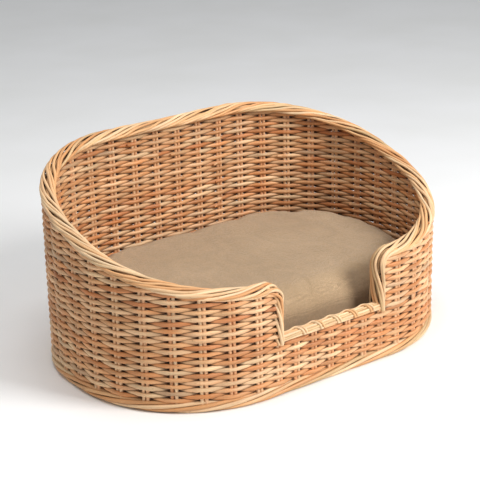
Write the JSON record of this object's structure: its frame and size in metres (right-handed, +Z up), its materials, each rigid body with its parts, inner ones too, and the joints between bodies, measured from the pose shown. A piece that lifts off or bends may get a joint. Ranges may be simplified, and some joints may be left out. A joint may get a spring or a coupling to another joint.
{
  "type": "pet bed basket",
  "caption": "Oval woven-cane pet bed with a high slanted rim, a low front sill to step over and a thick loose cushion that lifts out.",
  "frame": {"origin": "on the floor, at the middle of the basket's foot", "axes": "+X along the basket's length, to the right as seen from in front; -Y the front with the doorway; +Z up"},
  "size_m": [0.8012, 0.5451, 0.3948],
  "materials": {
    "wall_weave": "natural split cane, satin, varied from straw to chestnut",
    "border_cane": "natural round cane, satin",
    "foot_cane": "natural round cane, satin, scuffed",
    "stake_cane": "natural round cane, satin",
    "floor_weave": "natural cane, matt",
    "thick_cane": "thick natural cane with knots",
    "nail_steel": "plain wire nail",
    "cushion_cloth": "khaki cotton canvas, matt",
    "fibre_filling": "white fibre filling",
    "zip_tape": "woven tape, matt",
    "zip_coil": "nylon coil",
    "zip_metal": "antique brass"
  },
  "bodies": {
    "root": {"base_hoop": "thick_cane", "base_cross_canes": "thick_cane", "hoop_nails": "nail_steel", "woven_base": "floor_weave", "foot_wale": "foot_cane", "lower_siding": "wall_weave", "upper_siding": "wall_weave", "rim_hoop": "thick_cane", "rim_border": "border_cane", "left_edge_border": "border_cane", "right_edge_border": "border_cane", "sill_rod": "thick_cane", "sill_border": "border_cane", "stakes_back": "stake_cane", "stakes_left_end": "stake_cane", "stakes_right_end": "stake_cane", "stakes_left_lobe": "stake_cane", "stakes_right_lobe": "stake_cane", "stakes_sill": "stake_cane"},
    "cushion": {"cushion_filling": "fibre_filling", "cushion_cover": "cushion_cloth", "cushion_underside": "cushion_cloth", "zip_tapes": "zip_tape", "zip_chain": "zip_coil"},
    "zip_slider_body": {"zip_slider": "zip_metal"},
    "zip_pull_body": {"zip_pull": "zip_metal"}
  },
  "joints": [
    {"name": "cushion_lift", "type": "slide", "parent": "root", "child": "cushion", "axis": [0, 0, 1], "range_m": [0, 0.4]},
    {"name": "zip_travel", "type": "slide", "parent": "cushion", "child": "zip_slider_body", "axis": [-1, 0, 0], "range_m": [0, 0.244]},
    {"name": "pull_swing", "type": "hinge", "parent": "zip_slider_body", "child": "zip_pull_body", "pos_m": [0.122, 0.2362, 0.066], "axis": [0, 0, -1], "range_deg": [0, 175]}
  ]
}
